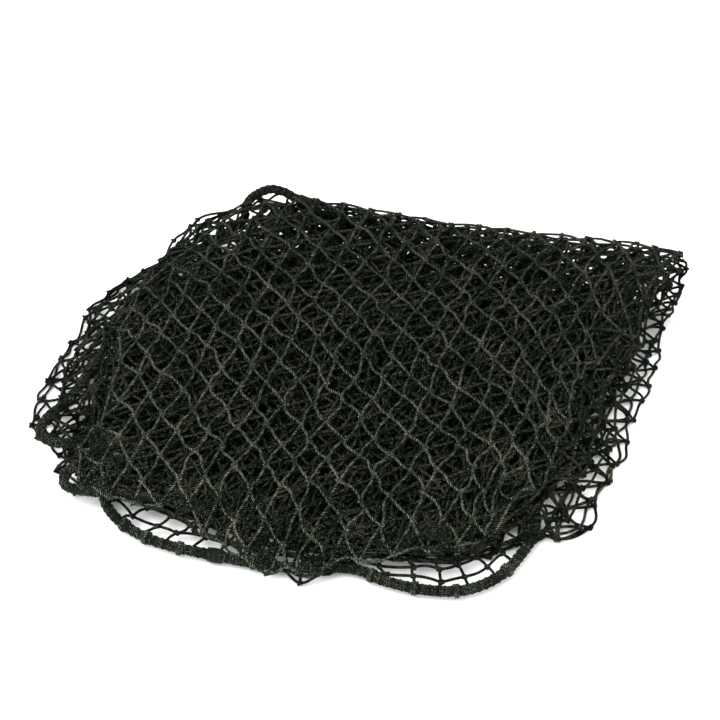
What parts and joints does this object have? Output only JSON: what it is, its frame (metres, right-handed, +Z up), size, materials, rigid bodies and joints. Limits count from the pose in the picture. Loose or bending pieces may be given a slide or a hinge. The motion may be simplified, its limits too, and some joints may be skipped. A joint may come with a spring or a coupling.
{
  "type": "hay net",
  "caption": "Hay net of black knotted small-mesh twine with a thick border rope, folded flat into a square bundle for storage; the top half folds back.",
  "frame": {"origin": "centre of the bundle's box, on the surface that it lies on", "axes": "+Z up through the stacked plies, +X along the back fold, +Y towards the back fold"},
  "size_m": [0.507, 0.433, 0.078],
  "materials": {
    "net_twine": "matte",
    "border_rope": "matte",
    "whipping_twine": "satin"
  },
  "bodies": {
    "root": {"net_ply_01": "net_twine", "net_ply_02": "net_twine", "net_ply_03": "net_twine", "net_ply_04": "net_twine", "net_ply_05": "net_twine", "net_ply_06": "net_twine", "net_ply_07": "net_twine", "net_ply_08": "net_twine", "border_rope_lower": "border_rope", "rope_whipping_front": "whipping_twine", "rope_seizing": "whipping_twine", "edge_hitch_1": "net_twine", "edge_hitch_2": "net_twine", "edge_hitch_3": "net_twine", "edge_hitch_4": "net_twine", "edge_hitch_5": "net_twine", "edge_hitch_6": "net_twine", "edge_hitch_7": "net_twine", "edge_hitch_8": "net_twine"},
    "upper_half": {"net_ply_09": "net_twine", "net_ply_10": "net_twine", "net_ply_11": "net_twine", "net_ply_12": "net_twine", "net_ply_13": "net_twine", "net_ply_14": "net_twine", "net_ply_15": "net_twine", "net_ply_16": "net_twine", "border_rope_upper": "border_rope", "rope_whipping_back": "whipping_twine"}
  },
  "joints": [
    {"name": "unfold", "type": "hinge", "parent": "root", "child": "upper_half", "pos_m": [0, 0.2172, 0.0395], "axis": [-1, 0, 0], "range_deg": [0, 179]}
  ]
}
